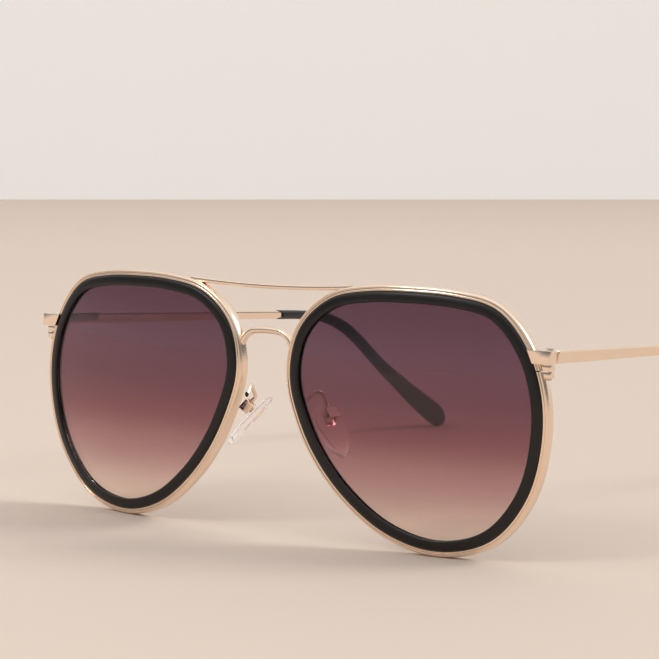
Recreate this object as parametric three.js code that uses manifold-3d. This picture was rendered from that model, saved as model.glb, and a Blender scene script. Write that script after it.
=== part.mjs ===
// Aviator sunglasses: a wire front with black inner rings, a brow bar and a nose bridge, clear
// nose pads on wire arms, and two folding temples with black sleeves.
// Millimetres. +Z is up, +X is the wearer's left, +Y runs back along the temples.
// The glasses stand open on their rims and temple tips, so the front leans back a little.

import * as THREE from 'three';
import { mergeVertices } from 'three/addons/utils/BufferGeometryUtils.js';
import Module from 'manifold-3d';

const wasm = await Module();
wasm.setup();

// ---------------------------------------------------------------- driving dimensions

const lensDistance = 70.3;
const frontLean = 2.35;
const wrapAngle = 5.14;
const domeRadius = 133;
const gap = 0.05;

// The inner ring's outer edge, seen along the lens axis: outward, up. It runs anticlockwise.
const ringOutline = [
  [28.4, -10.3], [28.2, 0], [24.8, 9.0], [18.6, 15.6], [10.2, 17.6], [0, 18.1], [-10.2, 17.7],
  [-18.8, 15.8], [-26.0, 9.5], [-28.2, 0], [-25.5, -9.3], [-20.8, -17.5], [-14.2, -24.6],
  [-5.4, -30.5], [5.8, -33.1], [17.4, -30.1], [25.2, -21.2],
];
const outlineSteps = 56;

const rimWidth = 1.2;
const rimDepth = 2.4;
const rimGroove = 0.45;
const ringWidth = 2.25;
const ringDepth = 3.0;
const lensThickness = 1.6;
const lensBite = 0.6;

const splitHeight = 4.1;
const blockWidth = 1.5;
const blockDepth = 1.8;
const blockHeight = 1.15;
const blockScrewRadius = 0.28;
const blockHeadRadius = 0.45;
const blockInset = 0.6;

const endOuter = 65.4;
const endFront = 3.2;
const endBack = 5.9;
const endHeight = 2.6;

const pivot = new THREE.Vector3(62.95, 7.6, 6.9);
const knuckleRadius = 1.0;
const knuckleHeight = 0.78;
const hingeScrewRadius = 0.45;

const templeSplay = 2.7;
const templeDrop = 1.3;
const templeInner = 1.05;
const templeThickness = 1.4;
const templeFront = -1.1;
const templeBlockLength = 14;
const templeEndHeight = 1.9;
const templeEndThickness = 1.2;
const sleeveStart = 77;
const sleeveEnd = 149.8;
const coreEnd = 138;
const coreSize = 1.1;

// The temple's centre line past the straight arm: along, up.
const bendLine = [
  [86, -2.1], [92, -2.6], [98, -3.7], [104, -5.9], [110, -9.4], [116, -13.7], [122, -17.8],
  [130, -22.8], [138, -27.5], [144, -30.8], [149.6, -33.8],
];

const padLength = 14;
const padWidth = 7;
const padThickness = 1.9;
const padOffset = 2.0;
const padStandoff = 1.6;
const boxSize = new THREE.Vector3(2.4, 2.4, 2.2);
const boxSlot = 0.95;
const padScrewRadius = 0.4;
const armRadius = 0.45;

const bridgeRadius = 0.75;
const browHeight = 1.0;
const browDepth = 1.5;

// ---------------------------------------------------------------- materials

const metal = { color: 0xe3bd97, roughness: 0.28, metalness: 1.0 };
const steel = { color: 0xc9c2b8, roughness: 0.3, metalness: 1.0 };
const black = { color: 0x1c1715, roughness: 0.38, metalness: 0.0 };
const smoke = { color: 0x6e4650, roughness: 0.05, metalness: 0.0 };
const clear = { color: 0xf0e6e2, roughness: 0.12, metalness: 0.0 };

// ---------------------------------------------------------------- geometry helpers

// Joins the shared corners of a closed geometry, drops empty triangles and turns it outward.
function weld(geometry) {
  const bare = geometry.clone();
  bare.deleteAttribute('normal');
  bare.deleteAttribute('uv');
  const merged = mergeVertices(bare, 1e-4);
  const at = (i) => new THREE.Vector3().fromBufferAttribute(merged.attributes.position, i);
  const kept = [];
  let volume = 0;
  for (let i = 0; i < merged.index.count; i += 3) {
    const [a, b, c] = [0, 1, 2].map((k) => merged.index.getX(i + k));
    if (a === b || b === c || c === a) continue;
    kept.push([a, b, c]);
    volume += at(a).dot(at(b).cross(at(c)));
  }
  const turned = volume > 0 ? kept : kept.map(([a, b, c]) => [a, c, b]);
  merged.setIndex(turned.flat());
  return merged;
}

// Moves every corner of a primitive to the point that the rule gives for it.
function reshape(geometry, rule) {
  const { position, uv } = geometry.attributes;
  for (let i = 0; i < position.count; i += 1) {
    const corner = new THREE.Vector3().fromBufferAttribute(position, i);
    const share = new THREE.Vector2().fromBufferAttribute(uv, i);
    const moved = rule(corner, share);
    position.setXYZ(i, moved.x, moved.y, moved.z);
  }
  return weld(geometry);
}

// A capped solid through a list of rings that all have the same number of corners.
function loft(rings) {
  const sides = rings[0].length;
  const steps = rings.length - 1;
  return reshape(new THREE.CylinderGeometry(1, 1, 1, sides, steps), (corner) => {
    const ring = rings[Math.round((0.5 - corner.y) * steps)];
    if (Math.hypot(corner.x, corner.z) < 0.5) {
      const sum = ring.reduce((total, point) => total.add(point), new THREE.Vector3());
      return sum.divideScalar(sides);
    }
    const turn = Math.round((Math.atan2(corner.x, corner.z) / (2 * Math.PI)) * sides);
    return ring[(turn + sides) % sides];
  });
}

function solid(geometry) {
  const closed = weld(geometry);
  const vertProperties = new Float32Array(closed.attributes.position.array);
  const triVerts = new Uint32Array(closed.index.array);
  return new wasm.Manifold(new wasm.Mesh({ numProp: 3, vertProperties, triVerts }));
}

function surface(manifold) {
  const result = manifold.getMesh();
  const geometry = new THREE.BufferGeometry();
  geometry.setAttribute('position', new THREE.BufferAttribute(result.vertProperties, 3));
  geometry.setIndex(new THREE.BufferAttribute(result.triVerts, 1));
  return geometry;
}

function cut(geometry, ...tools) {
  return surface(tools.reduce((left, tool) => left.subtract(solid(tool)), solid(geometry)));
}

function join(geometry, ...others) {
  return surface(others.reduce((whole, other) => whole.add(solid(other)), solid(geometry)));
}

function box(sizeX, sizeY, sizeZ, x, y, z) {
  return new THREE.BoxGeometry(sizeX, sizeY, sizeZ).translate(x, y, z);
}

function upright(radius, bottom, top, x, y, sides = 14) {
  const cylinder = new THREE.CylinderGeometry(radius, radius, top - bottom, sides);
  return cylinder.rotateX(Math.PI / 2).translate(x, y, (bottom + top) / 2);
}

function wire(points, radius, sides, steps) {
  const outline = new THREE.Shape();
  for (let i = 0; i < sides; i += 1) {
    const angle = (i / sides) * 2 * Math.PI;
    const corner = [radius * Math.cos(angle), radius * Math.sin(angle)];
    if (i === 0) outline.moveTo(...corner);
    else outline.lineTo(...corner);
  }
  const path = new THREE.CatmullRomCurve3(points, false, 'centripetal');
  return new THREE.ExtrudeGeometry(outline, { steps, extrudePath: path, bevelEnabled: false });
}

// A rectangle with cut corners, wide by high, anticlockwise.
function chamferedSection(width, height, chamfer) {
  const x = width / 2;
  const y = height / 2;
  return [
    [x, chamfer - y], [x, y - chamfer], [x - chamfer, y], [chamfer - x, y],
    [-x, y - chamfer], [-x, chamfer - y], [chamfer - x, -y], [x - chamfer, -y],
  ];
}

function ovalSection(width, height, sides) {
  const section = [];
  for (let i = 0; i < sides; i += 1) {
    const angle = ((i + 0.5) / sides) * 2 * Math.PI;
    const across = Math.sign(Math.cos(angle)) * Math.abs(Math.cos(angle)) ** 0.8;
    const up = Math.sign(Math.sin(angle)) * Math.abs(Math.sin(angle)) ** 0.8;
    section.push([(across * width) / 2, (up * height) / 2]);
  }
  return section;
}

const radians = THREE.MathUtils.degToRad;

function addPart(group, name, geometry, look) {
  geometry.computeVertexNormals();
  const mesh = new THREE.Mesh(geometry, new THREE.MeshStandardMaterial(look));
  mesh.name = name;
  group.add(mesh);
}

// ---------------------------------------------------------------- eye shape

const outline = new THREE.CatmullRomCurve3(
  ringOutline.map(([out, up]) => new THREE.Vector3(out, 0, up)), true, 'centripetal',
);

const outlineFrames = Array.from({ length: outlineSteps }, (_, i) => {
  const point = outline.getPointAt(i / outlineSteps);
  const tangent = outline.getTangentAt(i / outlineSteps);
  return { out: point.x, up: point.z, normalOut: tangent.z, normalUp: -tangent.x };
});

function onDome(side, out, back, up) {
  return new THREE.Vector3(side * out, back + (out * out + up * up) / (2 * domeRadius), up);
}

// A ring round the eye. Its section lists [distance outside the outline, depth] corners.
function eyeRing(side, section) {
  const torus = new THREE.TorusGeometry(1, 0.5, section.length, outlineSteps);
  return reshape(torus, (_, share) => {
    const frame = outlineFrames[Math.round(share.x * outlineSteps) % outlineSteps];
    const [away, back] = section[Math.round(share.y * section.length) % section.length];
    const out = frame.out + away * frame.normalOut;
    const up = frame.up + away * frame.normalUp;
    return onDome(side, out, back, up);
  });
}

// The room that the rim and the inner ring take, with clearance, for cutting what meets them.
function rimRoom(side) {
  const half = rimDepth / 2 + gap;
  const outer = rimWidth + gap;
  return eyeRing(side, [
    [-4, -3], [gap, -3], [gap, -half], [outer - 0.35, -half], [outer, 0.4 - half],
    [outer, half - 0.4], [outer - 0.35, half], [gap, half], [gap, 3], [-4, 3],
  ]);
}

function toFront(geometry, side) {
  return geometry.rotateZ(side * radians(wrapAngle)).translate(side * lensDistance / 2, 0, 0);
}

function rim(side) {
  const half = rimDepth / 2;
  const band = eyeRing(side, [
    [0, 0.1 - half], [0.8, -half], [rimWidth, 0.4 - half], [rimWidth, half - 0.4],
    [0.8, half], [0, half - 0.1], [0, 0.55], [rimGroove, 0], [0, -0.55],
  ]);
  const split = box(6, 8, 0.2, side * 29, 4, splitHeight);
  return cut(band, split);
}

function innerRing(side) {
  const half = ringDepth / 2;
  const slot = lensThickness / 2 + gap;
  const floor = lensBite - ringWidth;
  return eyeRing(side, [
    [-gap, 0.4 - half], [-0.45, -half], [0.5 - ringWidth, -half], [-ringWidth, 0.4 - half],
    [-ringWidth, -slot], [floor, -slot], [floor, slot], [-ringWidth, slot],
    [-ringWidth, half - 0.4], [0.5 - ringWidth, half], [-0.45, half], [-gap, half - 0.4],
    [-gap, 0.5], [rimGroove - 0.1, 0], [-gap, -0.5],
  ]);
}

function lens(side) {
  const inset = gap + ringWidth - lensBite;
  const half = lensThickness / 2;
  const rings = [[0, -half], [0.4, -half], [0.72, -half], [1, -half],
    [1, half], [0.72, half], [0.4, half], [0, half]];
  const profile = rings.map(([radius, depth]) => new THREE.Vector2(radius, depth));
  const disc = new THREE.LatheGeometry(profile, outlineSteps);
  return reshape(disc, (_, share) => {
    const frame = outlineFrames[Math.round(share.x * outlineSteps) % outlineSteps];
    const [radius, depth] = rings[Math.round(share.y * (rings.length - 1))];
    const out = radius * (frame.out - inset * frame.normalOut);
    const up = radius * (frame.up - inset * frame.normalUp);
    return onDome(side, out, depth, up);
  });
}

// ---------------------------------------------------------------- closing block and end piece

const blockAcross = endOuter - blockInset - blockWidth / 2;
const blockBack = endBack - 0.35;
const screwLine = [blockAcross + 0.15, blockBack];

function closingBlock(side, bottom) {
  const body = box(
    blockWidth + 1, blockDepth, blockHeight, side * (blockAcross - 0.5), blockBack,
    bottom + blockHeight / 2,
  );
  const hole = upright(
    blockScrewRadius + gap, bottom - 1, bottom + blockHeight + 1, side * screwLine[0], screwLine[1],
  );
  return cut(body, hole, toFront(rimRoom(side), side));
}

function closingScrew(side, bottom) {
  const [x, y] = [side * screwLine[0], screwLine[1]];
  const shank = upright(blockScrewRadius, bottom - 0.1, bottom + 2 * blockHeight, x, y);
  const head = upright(blockHeadRadius, bottom - 0.45, bottom - gap, x, y);
  const slot = box(2, 0.2, 0.3, x, y, bottom - 0.5);
  return cut(join(shank, head), slot);
}

function endPiece(side) {
  const corner = 0.7;
  const plan = new THREE.Shape();
  plan.moveTo(59, endFront);
  plan.lineTo(endOuter - corner, endFront);
  plan.absarc(endOuter - corner, endFront + corner, corner, -Math.PI / 2, 0, false);
  plan.lineTo(endOuter, endBack);
  plan.lineTo(59, endBack);
  plan.closePath();
  const body = new THREE.ExtrudeGeometry(plan, {
    depth: endHeight, bevelEnabled: false, curveSegments: 4,
  });
  body.translate(0, 0, pivot.z - endHeight / 2);
  if (side < 0) body.scale(-1, 1, 1);
  return cut(body, toFront(rimRoom(side), side));
}

// ---------------------------------------------------------------- hinge

const pitch = knuckleHeight + gap;

function knuckle(side, level, leaf) {
  const bottom = level * pitch - knuckleHeight / 2;
  const barrel = upright(knuckleRadius, bottom, bottom + knuckleHeight, 0, 0, 20);
  const hole = upright(hingeScrewRadius + gap, bottom - 1, bottom + knuckleHeight + 1, 0, 0);
  const plate = box(
    leaf.to - leaf.from, leaf.back - leaf.front, knuckleHeight,
    side * (leaf.from + leaf.to) / 2, (leaf.front + leaf.back) / 2, level * pitch,
  );
  return cut(join(barrel, plate), hole);
}

// Two knuckles with one foot that is brazed to the back of the end piece.
function hingeFront(side) {
  const front = endBack + gap - pivot.y;
  const leaf = { from: -0.1, to: knuckleRadius, front, back: 0 };
  const foot = box(
    leaf.to - leaf.from, 0.45, endHeight - 0.1, side * (leaf.from + leaf.to) / 2, front + 0.225, 0,
  );
  return join(knuckle(side, -1, leaf), knuckle(side, 1, leaf), foot);
}

function hingeScrew() {
  const top = 1.5 * pitch;
  const shank = upright(hingeScrewRadius, -top, top + 0.2, 0, 0);
  const head = upright(0.8, top + gap / 2, top + 0.35, 0, 0, 16);
  const slot = box(2, 0.22, 0.3, 0, 0, top + 0.38);
  return cut(join(shank, head), slot);
}

const templeMiddle = templeInner + templeThickness / 2;

// The temple's front block with the single knuckle that sits between the two others.
function hingeTemple(side) {
  const section = chamferedSection(templeThickness, endHeight, 0.35);
  const rings = [templeFront, templeFront + templeBlockLength].map((along) => section.map(
    ([across, up]) => new THREE.Vector3(side * (templeMiddle + across), along, up),
  ));
  const tongue = knuckle(side, 0, { from: 0, to: templeInner + 0.4, front: 0, back: 2.4 });
  return join(loft(rings), tongue);
}

// ---------------------------------------------------------------- temple

const centreLine = new THREE.CatmullRomCurve3(
  [[sleeveStart - 8, (8 - sleeveStart) * Math.tan(radians(templeDrop))], ...bendLine]
    .map(([along, up]) => new THREE.Vector3(0, along, up)), false, 'centripetal',
);

// The centre line's point and upward normal at a distance along the temple.
function templeFrame(along) {
  const slope = Math.tan(radians(templeDrop));
  if (along <= sleeveStart - 8) {
    const normal = new THREE.Vector2(slope, 1).normalize();
    return { along, up: -along * slope, normal };
  }
  let low = 0;
  let high = 1;
  for (let i = 0; i < 24; i += 1) {
    const middle = (low + high) / 2;
    if (centreLine.getPoint(middle).y < along) low = middle;
    else high = middle;
  }
  const point = centreLine.getPoint(low);
  const tangent = centreLine.getTangent(low);
  return { along: point.y, up: point.z, normal: new THREE.Vector2(-tangent.z, tangent.y) };
}

function templeRings(side, stops) {
  return stops.map(({ along, section }) => {
    const frame = templeFrame(along);
    return section.map(([across, up]) => new THREE.Vector3(
      side * (templeMiddle + across),
      frame.along + up * frame.normal.x,
      frame.up + up * frame.normal.y,
    ));
  });
}

function templeArm(side) {
  const start = templeFront + templeBlockLength + gap;
  const armEnd = sleeveStart + 1.2;
  const stops = [];
  for (let i = 0; i <= 8; i += 1) {
    const share = i / 8;
    const along = THREE.MathUtils.lerp(start, armEnd, share);
    const width = THREE.MathUtils.lerp(templeThickness, templeEndThickness, share);
    const height = THREE.MathUtils.lerp(endHeight, templeEndHeight, share ** 0.8);
    stops.push({ along, section: chamferedSection(width, height, 0.3 * width) });
  }
  return join(loft(templeRings(side, stops)), coreWire(side, armEnd - 0.5, coreEnd, coreSize));
}

function coreWire(side, from, to, size) {
  const steps = 16;
  const stops = Array.from({ length: steps + 1 }, (_, i) => ({
    along: THREE.MathUtils.lerp(from, to, i / steps),
    section: chamferedSection(size, size, size * 0.28),
  }));
  return loft(templeRings(side, stops));
}

// The sleeve widens towards its end, which is rounded off like a paddle.
function sleeveSize(along) {
  const roundLength = 4.5;
  const spread = THREE.MathUtils.smoothstep(along, 114, 148);
  const height = 2.3 + 0.7 * THREE.MathUtils.smoothstep(along, 88, 104) + 3.1 * spread;
  const width = 2.1 + 0.5 * THREE.MathUtils.smoothstep(along, 84, 120);
  const past = Math.max(0, along - (sleeveEnd - roundLength)) / roundLength;
  const round = Math.sqrt(Math.max(0, 1 - past * past));
  return [width * (0.45 + 0.55 * round), height * round];
}

function templeTip(side) {
  const plain = Array.from({ length: 18 }, (_, i) => sleeveStart + i * 4);
  const rounded = [3.2, 1.9, 0.9, 0.3].map((short) => sleeveEnd - short);
  const stops = [...plain, ...rounded].map((along) => ({
    along,
    section: ovalSection(...sleeveSize(along), 12),
  }));
  const bore = coreWire(side, sleeveStart + 0.6, coreEnd + 0.2, coreSize + 2 * gap);
  const mouth = templeRings(side, [sleeveStart - 1, sleeveStart + 1.2 + gap].map((along) => ({
    along,
    section: chamferedSection(templeEndThickness + 0.16, templeEndHeight + 0.16, 0.3),
  })));
  const notchFrame = templeFrame(sleeveStart);
  const notch = new THREE.CylinderGeometry(0.8, 0.8, 8, 14).rotateZ(Math.PI / 2);
  notch.translate(side * templeMiddle, notchFrame.along - 0.15, notchFrame.up);
  return cut(loft(templeRings(side, stops)), bore, loft(mouth), notch);
}

// ---------------------------------------------------------------- nose pads

const boxCentre = new THREE.Vector3(11.25, 8.9, -8.6);
const padDown = new THREE.Vector3(0.64, -0.2, -0.74).normalize();
const padBack = new THREE.Vector3(0.5, 0.86, 0);
padBack.addScaledVector(padDown, -padBack.dot(padDown)).normalize();

// Axes of the pad box: x runs down the pad, y is the screw's line, z points away from the nose.
function padGroup(side) {
  const down = padDown.clone().multiply(new THREE.Vector3(side, 1, 1));
  const across = padBack.clone().multiply(new THREE.Vector3(side, 1, 1)).multiplyScalar(side);
  const away = down.clone().cross(across);
  const group = new THREE.Group();
  group.quaternion.setFromRotationMatrix(new THREE.Matrix4().makeBasis(down, across, away));
  group.position.copy(boxCentre).multiply(new THREE.Vector3(side, 1, 1));
  return group;
}

function sideways(radius, from, to, sides = 14) {
  const cylinder = new THREE.CylinderGeometry(radius, radius, to - from, sides);
  return cylinder.translate(0, (from + to) / 2, 0);
}

function padBox() {
  const body = box(boxSize.x, boxSize.y, boxSize.z, 0, 0, 0);
  const slotDepth = 1.85;
  const slot = box(4, boxSlot, slotDepth, 0, 0, slotDepth / 2 - boxSize.z / 2 - 0.01);
  const hole = sideways(padScrewRadius + gap, -3, 3);
  return cut(body, slot, hole);
}

function padScrew(side) {
  const half = boxSize.y / 2;
  const shank = sideways(padScrewRadius, -half, half);
  const head = side > 0
    ? sideways(0.7, -half - 0.4, -half - gap)
    : sideways(0.7, half + gap, half + 0.4);
  const bridgeOver = side > 0
    ? sideways(padScrewRadius, -half - 0.3, -half + 0.1)
    : sideways(padScrewRadius, half - 0.1, half + 0.3);
  const slot = box(0.2, 0.3, 2, 0, -side * (half + 0.45), 0);
  return cut(join(shank, head, bridgeOver), slot);
}

const plateSize = [3.2, 2.2, 0.4];
const padTop = -padStandoff;

function padMount() {
  const thick = boxSlot - 0.15;
  const eye = sideways(0.68, -thick / 2, thick / 2, 16);
  const neckLength = -padTop;
  const neck = box(1.2, thick, neckLength, 0, 0, -neckLength / 2);
  const plate = box(...plateSize, 0, 0, padTop - gap - plateSize[2] / 2);
  const hole = sideways(padScrewRadius + gap, -2, 2);
  return cut(join(eye, neck, box(1.2, thick, 0.3, 0, 0, padTop - 0.1), plate), hole);
}

function nosePad() {
  const ball = new THREE.SphereGeometry(1, 20, 12);
  const body = reshape(ball, (corner) => {
    const outward = Math.hypot(corner.x, corner.y);
    const soften = outward > 0 ? outward ** 0.72 / outward : 0;
    const drop = Math.sign(corner.z) * Math.abs(corner.z) ** 0.8;
    const narrow = 1 - 0.14 * corner.x;
    return new THREE.Vector3(
      padOffset + corner.x * soften * padLength / 2,
      corner.y * soften * narrow * padWidth / 2,
      padTop - padThickness / 2 + Math.min(drop * padThickness * 0.6, padThickness / 2),
    );
  });
  const [length, width, thick] = plateSize;
  const pocket = box(length + 2 * gap, width + 2 * gap, 2, 0, 0, padTop - 2 * gap - thick + 1);
  return cut(body, pocket);
}

function padArm(side) {
  const seat = boxCentre.clone().addScaledVector(padDown, -(boxSize.x / 2 + gap));
  const above = seat.clone().addScaledVector(padDown, -1.3);
  const route = [
    new THREE.Vector3(8.0, 0.8, -6.9), new THREE.Vector3(7.9, 3.2, -6.5),
    new THREE.Vector3(8.1, 5.0, -5.2), new THREE.Vector3(8.7, 6.6, -4.0),
    new THREE.Vector3(9.4, 7.9, -4.3), above, seat,
  ].map((point) => point.multiply(new THREE.Vector3(side, 1, 1)));
  return cut(wire(route, armRadius, 8, 26), toFront(rimRoom(side), side));
}

// ---------------------------------------------------------------- bridge and brow bar

function noseBridge() {
  const half = [[7.2, 4.9], [6.25, 5.95], [5.4, 7.1], [3.9, 8.1], [2.0, 8.4]];
  const route = [
    ...half.map(([x, z]) => new THREE.Vector3(-x, 0.6, z)),
    ...half.reverse().map(([x, z]) => new THREE.Vector3(x, 0.6, z)),
  ];
  const body = wire(route, bridgeRadius, 10, 28);
  return cut(body, toFront(rimRoom(1), 1), toFront(rimRoom(-1), -1));
}

function browBar() {
  const reach = 20.5;
  const sag = 0.75;
  const section = chamferedSection(browDepth, browHeight, 0.3);
  const rings = Array.from({ length: 17 }, (_, i) => {
    const x = reach * (i / 8 - 1);
    const height = 17.45 + sag * (x / reach) ** 2;
    return section.map(([across, up]) => new THREE.Vector3(x, 1.0 + across, height + up));
  });
  return cut(loft(rings), toFront(rimRoom(1), 1), toFront(rimRoom(-1), -1));
}

// ---------------------------------------------------------------- assembly

const glasses = new THREE.Group();
const front = new THREE.Group();
front.rotation.x = -radians(frontLean);
glasses.add(front);

addPart(front, 'nose_bridge', noseBridge(), metal);
addPart(front, 'brow_bar', browBar(), metal);

for (const [word, side] of [['left', 1], ['right', -1]]) {
  const eye = new THREE.Group();
  eye.position.x = side * lensDistance / 2;
  eye.rotation.z = side * radians(wrapAngle);
  front.add(eye);
  addPart(eye, `rim_${word}`, rim(side), metal);
  addPart(eye, `inner_ring_${word}`, innerRing(side), black);
  addPart(eye, `lens_${word}`, lens(side), smoke);

  const upperBlock = splitHeight + 0.1;
  const lowerBlock = splitHeight - 0.1 - blockHeight;
  addPart(front, `closing_block_upper_${word}`, closingBlock(side, upperBlock), metal);
  addPart(front, `closing_block_lower_${word}`, closingBlock(side, lowerBlock), metal);
  addPart(front, `closing_screw_${word}`, closingScrew(side, lowerBlock), steel);
  addPart(front, `end_piece_${word}`, endPiece(side), metal);

  const hinge = new THREE.Group();
  hinge.position.set(side * pivot.x, pivot.y, pivot.z);
  front.add(hinge);
  addPart(hinge, `hinge_front_${word}`, hingeFront(side), metal);
  addPart(hinge, `hinge_screw_${word}`, hingeScrew(), steel);

  const temple = new THREE.Group();
  temple.rotation.z = side * radians(templeSplay);
  hinge.add(temple);
  addPart(temple, `hinge_temple_${word}`, hingeTemple(side), metal);
  addPart(temple, `temple_${word}`, templeArm(side), metal);
  addPart(temple, `temple_tip_${word}`, templeTip(side), black);

  addPart(front, `pad_arm_${word}`, padArm(side), metal);
  const pad = padGroup(side);
  front.add(pad);
  addPart(pad, `pad_box_${word}`, padBox(), metal);
  addPart(pad, `pad_screw_${word}`, padScrew(side), steel);
  addPart(pad, `pad_mount_${word}`, padMount(), metal);
  addPart(pad, `nose_pad_${word}`, nosePad(), clear);
}

// The origin is under the middle of the whole object, on the surface that it stands on.
const bounds = new THREE.Box3().setFromObject(glasses, true);
front.position.y = -(bounds.min.y + bounds.max.y) / 2;
front.position.z = -bounds.min.z;

export default glasses;
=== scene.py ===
import math

import bpy
from mathutils import Matrix, Vector


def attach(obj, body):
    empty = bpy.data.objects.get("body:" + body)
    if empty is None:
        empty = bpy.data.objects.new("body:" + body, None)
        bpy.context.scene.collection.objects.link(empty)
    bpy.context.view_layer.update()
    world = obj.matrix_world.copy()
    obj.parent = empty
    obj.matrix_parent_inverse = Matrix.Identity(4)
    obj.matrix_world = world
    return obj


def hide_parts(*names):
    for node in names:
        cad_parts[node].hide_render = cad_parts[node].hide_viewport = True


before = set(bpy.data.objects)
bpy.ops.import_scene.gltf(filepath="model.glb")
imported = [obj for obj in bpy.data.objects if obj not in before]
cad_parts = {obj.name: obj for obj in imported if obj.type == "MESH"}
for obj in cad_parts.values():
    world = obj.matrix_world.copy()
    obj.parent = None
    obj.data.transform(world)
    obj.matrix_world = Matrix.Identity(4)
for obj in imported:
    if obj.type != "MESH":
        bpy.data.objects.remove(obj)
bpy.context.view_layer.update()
print("frame loaded", len(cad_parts), "nodes")

mm = 0.001
sides = {"left": 1, "right": -1}


# shared helpers

def clearSelection():
    if bpy.context.mode != "OBJECT":
        bpy.ops.object.mode_set(mode="OBJECT")
    bpy.ops.object.select_all(action="DESELECT")


def pickOnly(piece):
    clearSelection()
    piece.select_set(True)
    bpy.context.view_layer.objects.active = piece


def editMesh(piece, *steps):
    pickOnly(piece)
    bpy.ops.object.mode_set(mode="EDIT")
    bpy.ops.mesh.select_all(action="SELECT")
    for step in steps:
        step()
    bpy.ops.object.mode_set(mode="OBJECT")


def outwardNormals(piece, merge=1e-7):
    editMesh(
        piece,
        lambda: bpy.ops.mesh.remove_doubles(threshold=merge),
        lambda: bpy.ops.mesh.normals_make_consistent(inside=False),
    )


def smooth(piece, angle=35):
    pickOnly(piece)
    bpy.ops.object.shade_smooth_by_angle(angle=math.radians(angle))


def applyModifier(piece, kind, **settings):
    pickOnly(piece)
    modifier = piece.modifiers.new(kind.lower(), kind)
    for key, value in settings.items():
        setattr(modifier, key, value)
    bpy.ops.object.modifier_apply(modifier=modifier.name)


def cutAway(piece, cutters):
    for cutter in cutters:
        applyModifier(piece, "BOOLEAN", operation="DIFFERENCE", object=cutter, solver="EXACT")


def discard(pieces):
    for piece in pieces:
        bpy.data.objects.remove(piece, do_unlink=True)


def dress(piece, material, body, replaced):
    piece.data.materials.clear()
    piece.data.materials.append(material)
    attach(piece, body)
    if replaced:
        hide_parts(*replaced)


def blend(low, high, share):
    return low + (high - low) * share


def easeStep(value, low, high):
    share = min(1, max(0, (value - low) / (high - low)))
    return share * share * (3 - 2 * share)


# a point of an oval whose corners are squarer the lower its squareness is
def squaredOval(turn, width, height, squareness):
    across = math.copysign(abs(math.cos(turn)) ** squareness, math.cos(turn)) * width / 2
    up = math.copysign(abs(math.sin(turn)) ** squareness, math.sin(turn)) * height / 2
    return across, up


# a smooth curve through points, as the part's own curves run
def curvePoint(points, at, closed):
    count = len(points)
    spans = count if closed else count - 1
    span = min(int(at * spans), spans - 1)
    share = at * spans - span
    if closed:
        near = [points[(span + step) % count] for step in (-1, 0, 1, 2)]
    else:
        before = points[span - 1] if span else points[0] * 2 - points[1]
        after = points[span + 2] if span + 2 < count else points[-1] * 2 - points[-2]
        near = [before, points[span], points[span + 1], after]
    gaps = [max((near[k + 1] - near[k]).length, 1e-6) ** 0.5 for k in range(3)]
    first = (near[1] - near[0]) / gaps[0] - (near[2] - near[0]) / (gaps[0] + gaps[1])
    first = (first + (near[2] - near[1]) / gaps[1]) * gaps[1]
    second = (near[2] - near[1]) / gaps[1] - (near[3] - near[1]) / (gaps[1] + gaps[2])
    second = (second + (near[3] - near[2]) / gaps[2]) * gaps[1]
    square = near[1] * -3 + near[2] * 3 - first * 2 - second
    cube = near[1] * 2 - near[2] * 2 + first + second
    return near[1] + first * share + square * share ** 2 + cube * share ** 3


# a disc is extruded once for each ring, then every corner goes to its own place
def tube(name, sideCount, ringCount, place):
    clearSelection()
    bpy.ops.mesh.primitive_circle_add(vertices=sideCount, radius=1, fill_type="NGON")
    piece = bpy.context.object
    piece.name = name
    bpy.ops.object.mode_set(mode="EDIT")
    bpy.ops.mesh.select_all(action="SELECT")
    for _ in range(ringCount - 1):
        bpy.ops.mesh.extrude_region_move(TRANSFORM_OT_translate={"value": (0, 0, 1)})
    bpy.ops.object.mode_set(mode="OBJECT")
    for corner in piece.data.vertices:
        turn = math.atan2(corner.co.y, corner.co.x)
        corner.co = place(round(corner.co.z) / (ringCount - 1), turn) * mm
    outwardNormals(piece)
    return piece


# a round wire along a route in one group's own millimetres
def wire(name, route, radius, sideCount, ringCount, matrix):
    points = [Vector(point) for point in route]
    spots = [curvePoint(points, k / (ringCount - 1), False) for k in range(ringCount)]
    frames = []
    normal = None
    for k, spot in enumerate(spots):
        ahead = spots[min(k + 1, ringCount - 1)] - spots[max(k - 1, 0)]
        ahead.normalize()
        if normal is None:
            normal = ahead.orthogonal()
        normal = (normal - ahead * normal.dot(ahead)).normalized()
        frames.append((spot, normal.copy(), ahead.cross(normal)))

    def place(share, turn):
        spot, one, two = frames[round(share * (ringCount - 1))]
        return matrix @ (spot + (one * math.cos(turn) + two * math.sin(turn)) * radius)

    return tube(name, sideCount, ringCount, place)


# a CAD node's own shape with its seams merged and its corners eased
def softCopy(node, name, width, segments=2):
    piece = bpy.data.objects.new(name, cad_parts[node].data.copy())
    bpy.context.scene.collection.objects.link(piece)
    editMesh(
        piece,
        lambda: bpy.ops.mesh.remove_doubles(threshold=1e-6),
        lambda: bpy.ops.mesh.dissolve_limited(angle_limit=math.radians(1.5)),
        lambda: bpy.ops.mesh.normals_make_consistent(inside=False),
    )
    applyModifier(
        piece, "BEVEL", width=width * mm, segments=segments,
        limit_method="ANGLE", angle_limit=math.radians(38), use_clamp_overlap=True,
    )
    smooth(piece, 40)
    return piece


# materials

def newGroup(name, inputs, outputs):
    group = bpy.data.node_groups.new(name, "ShaderNodeTree")
    for label, kind, value in inputs:
        socket = group.interface.new_socket(label, in_out="INPUT", socket_type=kind)
        socket.default_value = value
    for label, kind in outputs:
        group.interface.new_socket(label, in_out="OUTPUT", socket_type=kind)
    return group, group.nodes.new("NodeGroupInput"), group.nodes.new("NodeGroupOutput")


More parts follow.
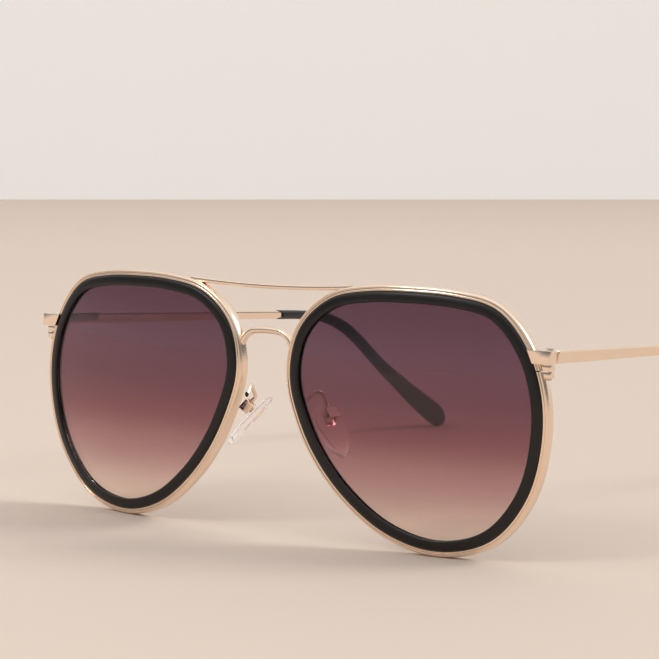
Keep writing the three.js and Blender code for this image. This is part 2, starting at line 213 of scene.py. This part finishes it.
# slow colour drift, a finer roughness pattern and a fine height, all over the surface
def makeFinishGroup():
    group, source, target = newGroup(
        "handledFinish",
        [
            ("Colour", "NodeSocketColor", (0.8, 0.8, 0.8, 1)),
            ("Second Colour", "NodeSocketColor", (0.7, 0.7, 0.7, 1)),
            ("Patch Scale", "NodeSocketFloat", 60.0),
            ("Grain Scale", "NodeSocketFloat", 900.0),
            ("Roughness Low", "NodeSocketFloat", 0.2),
            ("Roughness High", "NodeSocketFloat", 0.3),
        ],
        [
            ("Colour", "NodeSocketColor"),
            ("Roughness", "NodeSocketFloat"),
            ("Height", "NodeSocketFloat"),
        ],
    )
    link = group.links.new
    coords = group.nodes.new("ShaderNodeTexCoord")
    patches = group.nodes.new("ShaderNodeTexNoise")
    patches.inputs["Detail"].default_value = 4
    grain = group.nodes.new("ShaderNodeTexNoise")
    grain.inputs["Detail"].default_value = 3
    link(coords.outputs["Object"], patches.inputs["Vector"])
    link(coords.outputs["Object"], grain.inputs["Vector"])
    link(source.outputs["Patch Scale"], patches.inputs["Scale"])
    link(source.outputs["Grain Scale"], grain.inputs["Scale"])
    tint = group.nodes.new("ShaderNodeMix")
    tint.data_type = "RGBA"
    link(patches.outputs["Fac"], tint.inputs["Factor"])
    link(source.outputs["Colour"], tint.inputs["A"])
    link(source.outputs["Second Colour"], tint.inputs["B"])
    both = group.nodes.new("ShaderNodeMath")
    both.operation = "MULTIPLY_ADD"
    both.inputs[1].default_value = 0.5
    half = group.nodes.new("ShaderNodeMath")
    half.operation = "MULTIPLY"
    half.inputs[1].default_value = 0.5
    link(patches.outputs["Fac"], half.inputs[0])
    link(grain.outputs["Fac"], both.inputs[0])
    link(half.outputs["Value"], both.inputs[2])
    spread = group.nodes.new("ShaderNodeMapRange")
    spread.inputs["From Min"].default_value = 0.3
    spread.inputs["From Max"].default_value = 0.7
    link(both.outputs["Value"], spread.inputs["Value"])
    link(source.outputs["Roughness Low"], spread.inputs["To Min"])
    link(source.outputs["Roughness High"], spread.inputs["To Max"])
    link(tint.outputs["Result"], target.inputs["Colour"])
    link(spread.outputs["Result"], target.inputs["Roughness"])
    link(grain.outputs["Fac"], target.inputs["Height"])
    return group


finishGroup = makeFinishGroup()


def newMaterial(name):
    material = bpy.data.materials.new(name)
    material.use_nodes = True
    shader = material.node_tree.nodes["Principled BSDF"]
    return material, material.node_tree, shader


def addFinish(tree, look):
    finish = tree.nodes.new("ShaderNodeGroup")
    finish.node_tree = finishGroup
    finish.inputs["Colour"].default_value = look["colour"]
    finish.inputs["Second Colour"].default_value = look["second"]
    finish.inputs["Patch Scale"].default_value = look["patchScale"]
    finish.inputs["Grain Scale"].default_value = look["grainScale"]
    finish.inputs["Roughness Low"].default_value = look["roughness"][0]
    finish.inputs["Roughness High"].default_value = look["roughness"][1]
    return finish


def finishMaterial(name, look):
    material, tree, shader = newMaterial(name)
    finish = addFinish(tree, look)
    tree.links.new(finish.outputs["Colour"], shader.inputs["Base Color"])
    tree.links.new(finish.outputs["Roughness"], shader.inputs["Roughness"])
    bump = tree.nodes.new("ShaderNodeBump")
    bump.inputs["Strength"].default_value = look["bump"]
    bump.inputs["Distance"].default_value = look["bumpDepth"]
    tree.links.new(finish.outputs["Height"], bump.inputs["Height"])
    tree.links.new(bump.outputs["Normal"], shader.inputs["Normal"])
    shader.inputs["Metallic"].default_value = look["metallic"]
    shader.inputs["Specular IOR Level"].default_value = look.get("specular", 0.5)
    shader.inputs["Coat Weight"].default_value = look.get("coat", 0)
    shader.inputs["Coat Roughness"].default_value = look.get("coatRoughness", 0.1)
    return material


goldLook = {
    "colour": (0.97, 0.81, 0.67, 1), "second": (0.92, 0.72, 0.56, 1),
    "patchScale": 90, "grainScale": 2600, "roughness": (0.12, 0.21),
    "bump": 0.12, "bumpDepth": 0.00002, "metallic": 1,
}
steelLook = {
    "colour": (0.80, 0.74, 0.68, 1), "second": (0.70, 0.64, 0.58, 1),
    "patchScale": 300, "grainScale": 4200, "roughness": (0.18, 0.34),
    "bump": 0.2, "bumpDepth": 0.00003, "metallic": 1,
}
ringLook = {
    "colour": (0.005, 0.004, 0.004, 1), "second": (0.009, 0.007, 0.007, 1),
    "patchScale": 70, "grainScale": 3000, "roughness": (0.26, 0.38),
    "bump": 0.15, "bumpDepth": 0.00002, "metallic": 0, "specular": 0.4,
}
sleeveLook = {
    "colour": (0.010, 0.010, 0.014, 1), "second": (0.020, 0.019, 0.026, 1),
    "patchScale": 50, "grainScale": 2200, "roughness": (0.22, 0.34),
    "bump": 0.12, "bumpDepth": 0.00002, "metallic": 0, "coat": 0.15, "coatRoughness": 0.12,
    "specular": 0.36,
}

goldMetal = finishMaterial("roseGoldPlating", goldLook)
screwSteel = finishMaterial("screwSteel", steelLook)
blackRing = finishMaterial("blackAcetateRing", ringLook)
blackSleeve = finishMaterial("blackAcetateSleeve", sleeveLook)

# the tint from the floor side up, each height in metres with its colour
tintLook = {"top": 0.055, "cloudScale": 28, "drift": 0.0016, "roughness": 0.02, "ior": 1.5}
tintStops = [
    (0.003, (0.92, 0.80, 0.70, 1)),
    (0.012, (0.62, 0.43, 0.42, 1)),
    (0.021, (0.335, 0.158, 0.178, 1)),
    (0.031, (0.182, 0.068, 0.102, 1)),
    (0.042, (0.175, 0.083, 0.13, 1)),
    (0.052, (0.15, 0.08, 0.118, 1)),
]


def tintMaterial():
    material, tree, shader = newMaterial("gradientTint")
    coords = tree.nodes.new("ShaderNodeTexCoord")
    split = tree.nodes.new("ShaderNodeSeparateXYZ")
    tree.links.new(coords.outputs["Object"], split.inputs["Vector"])
    cloud = tree.nodes.new("ShaderNodeTexNoise")
    cloud.inputs["Scale"].default_value = tintLook["cloudScale"]
    cloud.inputs["Detail"].default_value = 1
    tree.links.new(coords.outputs["Object"], cloud.inputs["Vector"])
    drift = tree.nodes.new("ShaderNodeMath")
    drift.operation = "MULTIPLY_ADD"
    drift.inputs[1].default_value = tintLook["drift"]
    tree.links.new(cloud.outputs["Fac"], drift.inputs[0])
    tree.links.new(split.outputs["Z"], drift.inputs[2])
    span = tree.nodes.new("ShaderNodeMapRange")
    span.inputs["From Max"].default_value = tintLook["top"]
    tree.links.new(drift.outputs["Value"], span.inputs["Value"])
    ramp = tree.nodes.new("ShaderNodeValToRGB")
    ramp.color_ramp.interpolation = "CARDINAL"
    stops = ramp.color_ramp.elements
    while len(stops) < len(tintStops):
        stops.new(0.5)
    for stop, (height, colour) in zip(stops, tintStops):
        stop.position = height / tintLook["top"]
        stop.color = colour
    tree.links.new(span.outputs["Result"], ramp.inputs["Fac"])
    tree.links.new(ramp.outputs["Color"], shader.inputs["Base Color"])
    shader.inputs["Roughness"].default_value = tintLook["roughness"]
    shader.inputs["IOR"].default_value = tintLook["ior"]
    shader.inputs["Transmission Weight"].default_value = 1
    return material


clearLook = {
    "colour": (0.97, 0.93, 0.91, 1), "second": (0.93, 0.86, 0.83, 1),
    "patchScale": 160, "grainScale": 1500, "roughness": (0.06, 0.22),
    "ior": 1.3, "transmission": 0.95, "glow": (1.0, 0.96, 0.96, 1), "glowStrength": 0.06,
}


def clearMaterial():
    material, tree, shader = newMaterial("clearSilicone")
    finish = addFinish(tree, clearLook)
    tree.links.new(finish.outputs["Colour"], shader.inputs["Base Color"])
    tree.links.new(finish.outputs["Roughness"], shader.inputs["Roughness"])
    shader.inputs["IOR"].default_value = clearLook["ior"]
    shader.inputs["Transmission Weight"].default_value = clearLook["transmission"]
    shader.inputs["Emission Color"].default_value = clearLook["glow"]
    shader.inputs["Emission Strength"].default_value = clearLook["glowStrength"]
    return material


gradientTint = tintMaterial()
clearSilicone = clearMaterial()
print("materials made")


# where each group stands, in metres

placing = {
    "front": (0, -77.374, 34.457), "lean": -2.35, "lensDistance": 70.3, "wrap": 5.14,
    "pivot": (62.95, 7.6, 6.9), "splay": 2.7,
    "padBox": (11.25, 8.9, -8.6), "padDown": (0.64, -0.2, -0.74), "padBack": (0.5, 0.86, 0),
}


def turnAbout(axis, degrees):
    return Matrix.Rotation(math.radians(degrees), 4, axis)


frontMatrix = Matrix.Translation(placing["front"]) @ turnAbout("X", placing["lean"])


def eyeMatrix(side):
    across = Matrix.Translation((side * placing["lensDistance"] / 2, 0, 0))
    return frontMatrix @ across @ turnAbout("Z", side * placing["wrap"])


def templeMatrix(side):
    x, y, z = placing["pivot"]
    hinge = Matrix.Translation((side * x, y, z))
    return frontMatrix @ hinge @ turnAbout("Z", side * placing["splay"])


def padMatrix(side):
    down = Vector(placing["padDown"]).normalized()
    back = Vector(placing["padBack"])
    back = (back - down * back.dot(down)).normalized()
    down = Vector((side * down.x, down.y, down.z))
    across = Vector((side * back.x, back.y, back.z)) * side
    away = down.cross(across)
    turned = Matrix((down, across, away)).transposed().to_4x4()
    x, y, z = placing["padBox"]
    return frontMatrix @ Matrix.Translation((side * x, y, z)) @ turned


# eye rings and lenses

eyeShape = {
    "outline": [
        (28.4, -10.3), (28.2, 0), (24.8, 9.0), (18.6, 15.6), (10.2, 17.6), (0, 18.1),
        (-10.2, 17.7), (-18.8, 15.8), (-26.0, 9.5), (-28.2, 0), (-25.5, -9.3),
        (-20.8, -17.5), (-14.2, -24.6), (-5.4, -30.5), (5.8, -33.1), (17.4, -30.1),
        (25.2, -21.2),
    ],
    "steps": 208,
    "dome": 133,
    "split": 4.1, "splitBox": (6, 8, 0.2), "splitPlace": (29, 4),
    "rimRoom": [(-4, -4), (1.0, -4), (1.0, 4), (-4, 4)],
    "fineSteps": 2040, "easings": 6,
    "rim": [
        (0, -1.08), (0.07, -1.17), (0.18, -1.2), (0.34, -1.2), (0.42, -1.16), (0.47, -1.0),
        (0.63, -1.0), (0.68, -1.16), (0.76, -1.19), (0.9, -1.17), (1.05, -1.07),
        (1.15, -0.93), (1.2, -0.75),
        (1.2, 0.75), (1.15, 0.93), (1.05, 1.07), (0.9, 1.17), (0.72, 1.2), (0.18, 1.2),
        (0.07, 1.17), (0, 1.08), (0, 0.55), (0.3, 0.18), (0.45, 0), (0.3, -0.18), (0, -0.55),
    ],
    "ring": [
        (-0.05, -1.1), (-0.12, -1.3), (-0.27, -1.44), (-0.5, -1.5), (-1.1, -1.52), (-1.7, -1.5),
        (-1.95, -1.45), (-2.13, -1.34), (-2.22, -1.17), (-2.25, -1.0), (-2.25, -0.85),
        (-1.65, -0.85), (-1.65, 0.85), (-2.25, 0.85), (-2.25, 1.0), (-2.22, 1.17),
        (-2.13, 1.34), (-1.95, 1.45), (-1.7, 1.5), (-0.5, 1.5), (-0.27, 1.44), (-0.12, 1.3),
        (-0.05, 1.1), (-0.05, 0.5), (0.35, 0), (-0.05, -0.5),
    ],
    "lensInset": 1.7,
    "lensThickness": 1.6,
    "lensInsets": 14, "lensInsetStep": 0.065,
}


def outlineFrames():
    points = [Vector((out, up)) for out, up in eyeShape["outline"]]
    fineSteps = eyeShape["fineSteps"]
    fine = [curvePoint(points, k / fineSteps, True) for k in range(fineSteps)]
    lengths = [0]
    for k in range(fineSteps):
        lengths.append(lengths[-1] + (fine[(k + 1) % fineSteps] - fine[k]).length)
    spots = []
    spot = 0
    for step in range(eyeShape["steps"]):
        goal = lengths[-1] * step / eyeShape["steps"]
        while lengths[spot + 1] < goal:
            spot += 1
        share = (goal - lengths[spot]) / (lengths[spot + 1] - lengths[spot])
        spots.append(fine[spot].lerp(fine[(spot + 1) % fineSteps], share))
    count = len(spots)
    for _ in range(eyeShape["easings"]):
        spots = [
            spots[k] * 0.5 + (spots[k - 1] + spots[(k + 1) % count]) * 0.25 for k in range(count)
        ]
    frames = []
    for k in range(count):
        ahead = (spots[(k + 1) % count] - spots[k - 1]).normalized()
        frames.append((spots[k], Vector((ahead.y, -ahead.x))))
    return frames


eyeFrames = outlineFrames()


def onDome(side, out, back, up):
    bow = (out * out + up * up) / (2 * eyeShape["dome"])
    return eyeMatrix(side) @ Vector((side * out, back + bow, up))


def eyeRing(name, side, section):
    clearSelection()
    steps = len(eyeFrames)
    bpy.ops.mesh.primitive_torus_add(
        major_segments=steps, minor_segments=len(section), major_radius=1, minor_radius=0.3,
    )
    piece = bpy.context.object
    piece.name = name
    for index, corner in enumerate(piece.data.vertices):
        spot, normal = eyeFrames[index // len(section)]
        away, back = section[index % len(section)]
        place = spot + normal * away
        corner.co = onDome(side, place.x, back, place.y) * mm
    outwardNormals(piece)
    return piece


def splitTool(side):
    clearSelection()
    bpy.ops.mesh.primitive_cube_add(size=1)
    tool = bpy.context.object
    wide, deep, tall = eyeShape["splitBox"]
    across, back = eyeShape["splitPlace"]
    for corner in tool.data.vertices:
        x, y, z = corner.co
        spot = Vector((side * across + x * wide, back + y * deep, eyeShape["split"] + z * tall))
        corner.co = (eyeMatrix(side) @ spot) * mm
    return tool


def lensDisc(name, side):
    clearSelection()
    bpy.ops.mesh.primitive_circle_add(vertices=len(eyeFrames), radius=1, fill_type="NGON")
    piece = bpy.context.object
    piece.name = name
    bpy.ops.object.mode_set(mode="EDIT")
    bpy.ops.mesh.select_all(action="SELECT")
    for _ in range(eyeShape["lensInsets"]):
        bpy.ops.mesh.inset(thickness=eyeShape["lensInsetStep"])
    bpy.ops.mesh.poke()
    bpy.ops.object.mode_set(mode="OBJECT")
    steps = len(eyeFrames)
    for corner in piece.data.vertices:
        radius = math.hypot(corner.co.x, corner.co.y)
        turn = math.atan2(corner.co.y, corner.co.x) / (2 * math.pi) * steps
        spot, normal = eyeFrames[round(turn) % steps]
        place = (spot - normal * eyeShape["lensInset"]) * radius
        corner.co = onDome(side, place.x, 0, place.y) * mm
    outwardNormals(piece)
    applyModifier(piece, "SOLIDIFY", thickness=eyeShape["lensThickness"] * mm, offset=0)
    outwardNormals(piece)
    smooth(piece, 40)
    return piece


for word, side in sides.items():
    rim = eyeRing(f"rim_wire_{word}", side, eyeShape["rim"])
    tool = splitTool(side)
    cutAway(rim, [tool])
    discard([tool])
    smooth(rim, 40)
    dress(rim, goldMetal, "front", [f"rim_{word}"])
    ring = eyeRing(f"black_ring_{word}", side, eyeShape["ring"])
    smooth(ring, 40)
    dress(ring, blackRing, "front", [f"inner_ring_{word}"])
    lens = lensDisc(f"tinted_lens_{word}", side)
    dress(lens, gradientTint, "front", [f"lens_{word}"])
print("rims, rings and lenses made")


# bridge, brow bar and pad arms

wires = {
    "bridgeHalf": [(7.2, 4.9), (6.25, 5.95), (5.4, 7.1), (3.9, 8.1), (2.0, 8.4)],
    "bridgeBack": 0.6, "bridgeRadius": 0.75,
    "browReach": 20.5, "browSag": 0.75, "browHeight": 17.45, "browBack": 1.0,
    "browSize": (1.5, 1.0), "browSquareness": 0.55,
    "armRadius": 0.45,
    "armRoute": [
        (8.0, 0.8, -6.9), (7.9, 3.2, -6.5), (8.1, 5.0, -5.2), (8.7, 6.6, -4.0), (9.4, 7.9, -4.3),
    ],
    "armSeat": -1.25, "armAbove": -2.55,
}

rimTools = [eyeRing(f"rimTool{side}", side, eyeShape["rimRoom"]) for side in (1, -1)]

bridgeRoute = [(-x, wires["bridgeBack"], z) for x, z in wires["bridgeHalf"]]
bridgeRoute += [(x, wires["bridgeBack"], z) for x, z in reversed(wires["bridgeHalf"])]
bridge = wire("bridge_wire", bridgeRoute, wires["bridgeRadius"], 28, 72, frontMatrix)
cutAway(bridge, rimTools)
smooth(bridge, 45)
dress(bridge, goldMetal, "front", ["nose_bridge"])


def browPlace(share, turn):
    x = wires["browReach"] * (2 * share - 1)
    height = wires["browHeight"] + wires["browSag"] * (x / wires["browReach"]) ** 2
    deep, tall = wires["browSize"]
    across, up = squaredOval(turn, deep, tall, wires["browSquareness"])
    return frontMatrix @ Vector((x, wires["browBack"] + across, height + up))


brow = tube("brow_wire", 28, 64, browPlace)
cutAway(brow, rimTools)
smooth(brow, 45)
dress(brow, goldMetal, "front", ["brow_bar"])

for word, side in sides.items():
    down = Vector(placing["padDown"]).normalized()
    centre = Vector(placing["padBox"])
    first = centre + down * wires["armAbove"]
    last = centre + down * wires["armSeat"]
    route = [Vector(spot) for spot in wires["armRoute"]] + [first, last]
    route = [(side * spot.x, spot.y, spot.z) for spot in route]
    arm = wire(f"pad_wire_{word}", route, wires["armRadius"], 18, 84, frontMatrix)
    cutAway(arm, [rimTools[0 if side > 0 else 1]])
    smooth(arm, 45)
    dress(arm, goldMetal, "front", [f"pad_arm_{word}"])
discard(rimTools)
print("bridge, brow bar and pad wires made")


# temples and their black sleeves

templeShape = {
    "drop": 1.3, "middle": 1.75, "armStart": -1.1, "taperStart": 12.95, "armEnd": 78.2,
    "knuckleReach": 1.04,
    "widths": (1.4, 1.2), "heights": (2.6, 1.9),
    "sleeveStart": 77, "sleeveEnd": 149.8, "roundLength": 4.5,
    "notchRadius": 0.85, "notchDepth": 0.5,
    "sleeveHeights": (2.3, 0.7, 3.1), "sleeveWidths": (2.1, 0.5), "endWidth": 0.35,
    "bend": [
        (86, -2.1), (92, -2.6), (98, -3.7), (104, -5.9), (110, -9.4), (116, -13.7),
        (122, -17.8), (130, -22.8), (138, -27.5), (144, -30.8), (149.6, -33.8),
    ],
}
straightEnd = templeShape["sleeveStart"] - 8
dropSlope = math.tan(math.radians(templeShape["drop"]))
bendPoints = [Vector((straightEnd, -straightEnd * dropSlope))]
bendPoints += [Vector(point) for point in templeShape["bend"]]


def templeFrame(along):
    if along <= straightEnd:
        return Vector((along, -along * dropSlope)), Vector((dropSlope, 1)).normalized()
    low, high = 0, 1
    for _ in range(26):
        middle = (low + high) / 2
        if curvePoint(bendPoints, middle, False).x < along:
            low = middle
        else:
            high = middle
    before = curvePoint(bendPoints, max(low - 0.002, 0), False)
    after = curvePoint(bendPoints, min(low + 0.002, 1), False)
    ahead = (after - before).normalized()
    return curvePoint(bendPoints, low, False), Vector((-ahead.y, ahead.x))


def templeTube(name, side, stops, sideCount, squareness):
    matrix = templeMatrix(side)
    frames = [(templeFrame(along), size) for along, size in stops]

    def place(share, turn):
        (spot, normal), (width, height) = frames[round(share * (len(stops) - 1))]
        across, up = squaredOval(turn, width, height, squareness)
        x = side * (templeShape["middle"] + across)
        return matrix @ Vector((x, spot.x + up * normal.x, spot.y + up * normal.y))

    return tube(name, sideCount, len(stops), place)


def sleeveSize(along):
    plain, swell, paddle = templeShape["sleeveHeights"]
    narrow, widening = templeShape["sleeveWidths"]
    height = plain + swell * easeStep(along, 88, 104) + paddle * easeStep(along, 114, 148)
    width = narrow + widening * easeStep(along, 84, 120)
    past = along - (templeShape["sleeveEnd"] - templeShape["roundLength"])
    past = max(0, past) / templeShape["roundLength"]
    roundness = math.sqrt(max(0, 1 - past * past))
    return width * blend(templeShape["endWidth"], 1, roundness), max(height * roundness, 0.3)


def armStops():
    start, taper, end = (templeShape[key] for key in ("armStart", "taperStart", "armEnd"))
    width, height = templeShape["widths"][0], templeShape["heights"][0]
    stops = [(start, (width - 0.4, height - 0.4)), (start + 0.06, (width - 0.15, height - 0.15))]
    stops.append((start + 0.2, (width, height)))
    stops += [(blend(start + 0.6, taper - 0.5, k / 6), (width, height)) for k in range(7)]
    for k in range(25):
        share = k / 24
        width = blend(*templeShape["widths"], share)
        height = blend(*templeShape["heights"], share ** 0.8)
        stops.append((blend(taper, end, share), (width, height)))
    return stops


def sleeveStops():
    start, end = templeShape["sleeveStart"], templeShape["sleeveEnd"]
    width, height = sleeveSize(start)
    stops = [(start, (width - 0.5, height - 0.5)), (start + 0.05, (width - 0.22, height - 0.22))]
    stops.append((start + 0.25, (width, height)))
    alongs = [start + 1 + k for k in range(67)]
    alongs += [end - short for short in (4.5, 3.9, 3.3, 2.7, 2.1, 1.6, 1.1, 0.7, 0.4, 0.2, 0.08)]
    return stops + [(along, sleeveSize(along)) for along in alongs]


# the small half-round notch across the sleeve's mouth
def notchTool(side):
    clearSelection()
    bpy.ops.mesh.primitive_cylinder_add(
        vertices=28, radius=templeShape["notchRadius"], depth=8, rotation=(0, math.pi / 2, 0),
    )
    tool = bpy.context.object
    spot, _ = templeFrame(templeShape["sleeveStart"])
    matrix = templeMatrix(side)
    for corner in tool.data.vertices:
        x, y, z = turnAbout("Y", 90) @ corner.co
        along = spot.x + templeShape["notchDepth"] + y
        place = Vector((side * templeShape["middle"] + x, along, spot.y + z))
        corner.co = (matrix @ place) * mm
    tool.matrix_world = Matrix.Identity(4)
    return tool


for word, side in sides.items():
    arm = templeTube(f"temple_arm_{word}", side, armStops(), 36, 0.42)
    smooth(arm, 45)
    dress(arm, goldMetal, f"temple_{word}_body", [f"temple_{word}"])
    sleeve = templeTube(f"temple_sleeve_{word}", side, sleeveStops(), 40, 0.78)
    notch = notchTool(side)
    cutAway(sleeve, [notch])
    discard([notch])
    smooth(sleeve, 45)
    dress(sleeve, blackSleeve, f"temple_{word}_body", [f"temple_tip_{word}"])
print("temples made")


# nose pads

padShape = {"length": 14, "width": 7, "thickness": 1.9, "offset": 2.0, "top": -1.6, "taper": 0.14}


def nosePad(name, side):
    clearSelection()
    bpy.ops.mesh.primitive_uv_sphere_add(segments=64, ring_count=36, radius=1)
    piece = bpy.context.object
    piece.name = name
    matrix = padMatrix(side)
    thick = padShape["thickness"]
    for corner in piece.data.vertices:
        x, y, z = corner.co
        outward = math.hypot(x, y)
        soften = outward ** 0.72 / outward if outward > 1e-6 else 0
        drop = math.copysign(abs(z) ** 0.8, z)
        spot = Vector((
            padShape["offset"] + x * soften * padShape["length"] / 2,
            y * soften * (1 - padShape["taper"] * x) * padShape["width"] / 2,
            padShape["top"] - thick / 2 + max(min(drop * thick * 0.6, thick / 2), -thick / 2),
        ))
        corner.co = (matrix @ spot) * mm
    outwardNormals(piece)
    smooth(piece, 60)
    return piece


for word, side in sides.items():
    pad = nosePad(f"silicone_pad_{word}", side)
    dress(pad, clearSilicone, f"nose_pad_{word}_body", [f"nose_pad_{word}"])
print("nose pads made")


# small metal pieces keep their CAD shape, with eased corners

fittings = {
    "end_piece": ("gold_metal", "front", 0.1, 3),
    "closing_block_upper": ("gold_metal", "front", 0.16, 2),
    "closing_block_lower": ("gold_metal", "front", 0.16, 2),
    "closing_screw": ("screw_steel", "front", 0.05, 2),
    "hinge_front": ("gold_metal", "front", 0.07, 2),
    "hinge_screw": ("screw_steel", "front", 0.05, 2),
    "hinge_temple": ("gold_metal", "temple_{}_body", 0.07, 2),
    "pad_box": ("gold_metal", "front", 0.16, 3),
    "pad_screw": ("screw_steel", "front", 0.04, 2),
    "pad_mount": ("gold_metal", "nose_pad_{}_body", 0.06, 2),
}
slotMaterials = {"gold_metal": goldMetal, "screw_steel": screwSteel}

# the temple arm already covers the block, so only the knuckle's side of it stays
def keepKnuckle(piece, side):
    matrix = templeMatrix(side)
    spot = (matrix @ Vector((side * templeShape["knuckleReach"], 0, 0))) * mm
    outward = matrix.to_3x3() @ Vector((side, 0, 0))
    editMesh(piece, lambda: bpy.ops.mesh.bisect(
        plane_co=spot, plane_no=outward, use_fill=True, clear_outer=True,
    ))
    smooth(piece, 40)


for word, side in sides.items():
    for node, (slot, body, width, segments) in fittings.items():
        piece = softCopy(f"{node}_{word}", f"eased_{node}_{word}", width, segments)
        if node == "hinge_temple":
            keepKnuckle(piece, side)
        dress(piece, slotMaterials[slot], body.format(word), [f"{node}_{word}"])
print("fittings eased")


# floor, wall, light and camera

studio = {
    "floor": (0.675, 0.575, 0.50, 1), "wall": (0.83, 0.82, 0.80, 1), "wallGlow": 0.32,
    "sky": [(0.0, 0.7), (0.09, 0.3), (0.2, 0.14), (0.34, 0.4), (0.55, 1.0), (1.0, 1.2)],
    "skyTint": (1.0, 0.985, 0.97), "backdrop": (0.80, 0.76, 0.70, 1), "skyStrength": 0.86,
    "sunStrength": 1.25, "sunAngle": 22, "sunHeight": 36,
    "cardPower": 2.2, "cardSize": 0.32, "cardPlace": (-0.35, -0.9, 0.75),
    "wallDistance": 1.5, "reach": 4, "wallHeight": 2.2, "lightTint": (1.0, 0.97, 0.94),
    "camera": (0.28033, -0.44222, 0.09027), "azimuth": 35.88, "down": 5.86, "lens": 123.02,
}


def plainSurface(name, colour):
    return finishMaterial(name, {
        "colour": colour, "second": tuple(channel * 0.985 for channel in colour[:3]) + (1,),
        "patchScale": 3, "grainScale": 900, "roughness": (0.75, 0.85),
        "bump": 0.03, "bumpDepth": 0.0001, "metallic": 0, "specular": 0.1,
    })


def stagePlane(name, colour, cornerPlace):
    clearSelection()
    bpy.ops.mesh.primitive_plane_add(size=2)
    piece = bpy.context.object
    piece.name = name
    for corner in piece.data.vertices:
        corner.co = cornerPlace(corner.co.x, corner.co.y)
    piece.data.materials.append(plainSurface(f"{name}Paint", colour))
    return piece


turn = math.radians(studio["azimuth"])
lookAlong = Vector((-math.sin(turn), math.cos(turn), 0))
lookRight = Vector((math.cos(turn), math.sin(turn), 0))
farLine = lookAlong * studio["wallDistance"]
stagePlane(
    "studioFloor", studio["floor"],
    lambda x, y: lookRight * x * studio["reach"]
    + lookAlong * (studio["wallDistance"] if y > 0 else -studio["reach"]),
)
wall = stagePlane(
    "studioWall", studio["wall"],
    lambda x, y: farLine + lookRight * x * studio["reach"]
    + Vector((0, 0, studio["wallHeight"] if y > 0 else 0)),
)

wallShader = wall.data.materials[0].node_tree.nodes["Principled BSDF"]
wallShader.inputs["Emission Color"].default_value = studio["wall"]
wallShader.inputs["Emission Strength"].default_value = studio["wallGlow"]


# a bright ceiling over a darker band, which gives the metal its contrast
def makeWorld():
    world = bpy.data.worlds.new("studioWorld")
    world.use_nodes = True
    tree = world.node_tree
    coords = tree.nodes.new("ShaderNodeTexCoord")
    split = tree.nodes.new("ShaderNodeSeparateXYZ")
    tree.links.new(coords.outputs["Generated"], split.inputs["Vector"])
    ramp = tree.nodes.new("ShaderNodeValToRGB")
    stops = ramp.color_ramp.elements
    while len(stops) < len(studio["sky"]):
        stops.new(0.5)
    for stop, (height, level) in zip(stops, studio["sky"]):
        stop.position = height
        stop.color = tuple(channel * level for channel in studio["skyTint"]) + (1,)
    tree.links.new(split.outputs["Z"], ramp.inputs["Fac"])
    seen = tree.nodes.new("ShaderNodeLightPath")
    swap = tree.nodes.new("ShaderNodeMix")
    swap.data_type = "RGBA"
    swap.inputs["B"].default_value = studio["backdrop"]
    tree.links.new(seen.outputs["Is Camera Ray"], swap.inputs["Factor"])
    tree.links.new(ramp.outputs["Color"], swap.inputs["A"])
    background = tree.nodes["Background"]
    tree.links.new(swap.outputs["Result"], background.inputs["Color"])
    background.inputs["Strength"].default_value = studio["skyStrength"]
    bpy.context.scene.world = world


def addLight(name, kind, power, place, **settings):
    data = bpy.data.lights.new(name, kind)
    data.energy = power
    data.color = studio["lightTint"]
    for key, value in settings.items():
        setattr(data, key, value)
    light = bpy.data.objects.new(name, data)
    bpy.context.scene.collection.objects.link(light)
    light.location = place
    light.rotation_euler = (-Vector(place)).to_track_quat("-Z", "Y").to_euler()


makeWorld()
sunRise = math.radians(studio["sunHeight"])
sunPlace = lookRight * math.cos(sunRise) + Vector((0, 0, math.sin(sunRise)))
addLight("sunLight", "SUN", studio["sunStrength"], sunPlace, angle=math.radians(studio["sunAngle"]))
addLight(
    "cardLight", "AREA", studio["cardPower"], studio["cardPlace"],
    shape="DISK", size=studio["cardSize"],
)

cameraData = bpy.data.cameras.new("sceneCamera")
cameraData.lens = studio["lens"]
cameraData.sensor_width = 36
camera = bpy.data.objects.new("sceneCamera", cameraData)
bpy.context.scene.collection.objects.link(camera)
camera.location = studio["camera"]
camera.rotation_euler = (math.radians(90 - studio["down"]), 0, turn)
bpy.context.scene.camera = camera
bpy.context.scene.view_settings.view_transform = "Standard"
print("studio set")

bpy.context.view_layer.update()
